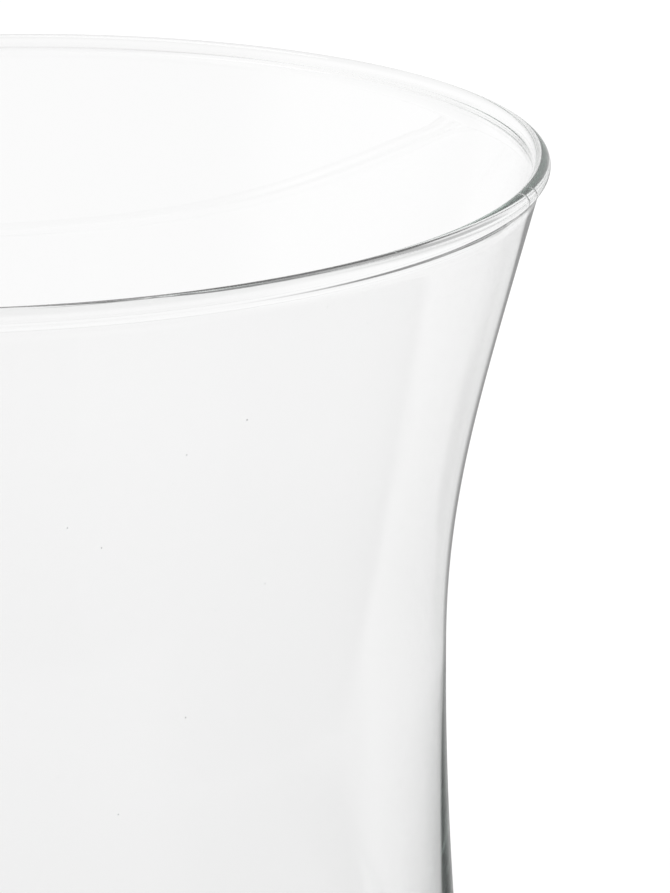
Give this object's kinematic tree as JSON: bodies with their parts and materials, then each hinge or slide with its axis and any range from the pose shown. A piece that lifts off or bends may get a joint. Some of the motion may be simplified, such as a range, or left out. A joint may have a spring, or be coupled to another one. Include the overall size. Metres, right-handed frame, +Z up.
{
  "type": "glass vase",
  "caption": "Clear glass flower vase with a flared, beaded mouth, a drawn-in waist and a heavy dished foot that stands on a flat ring.",
  "frame": {"origin": "middle of the plane that the vase stands on, on its axis", "axes": "+Z up along the axis of the vase, from the foot to the mouth; X and Y are any two square directions, since the vase is round"},
  "size_m": [0.165, 0.165, 0.2],
  "materials": {
    "clear_glass": "clear, fire-polished, with a few small seeds"
  },
  "bodies": {
    "root": {"body": "clear_glass", "lip_bead": "clear_glass", "foot": "clear_glass"}
  },
  "joints": []
}
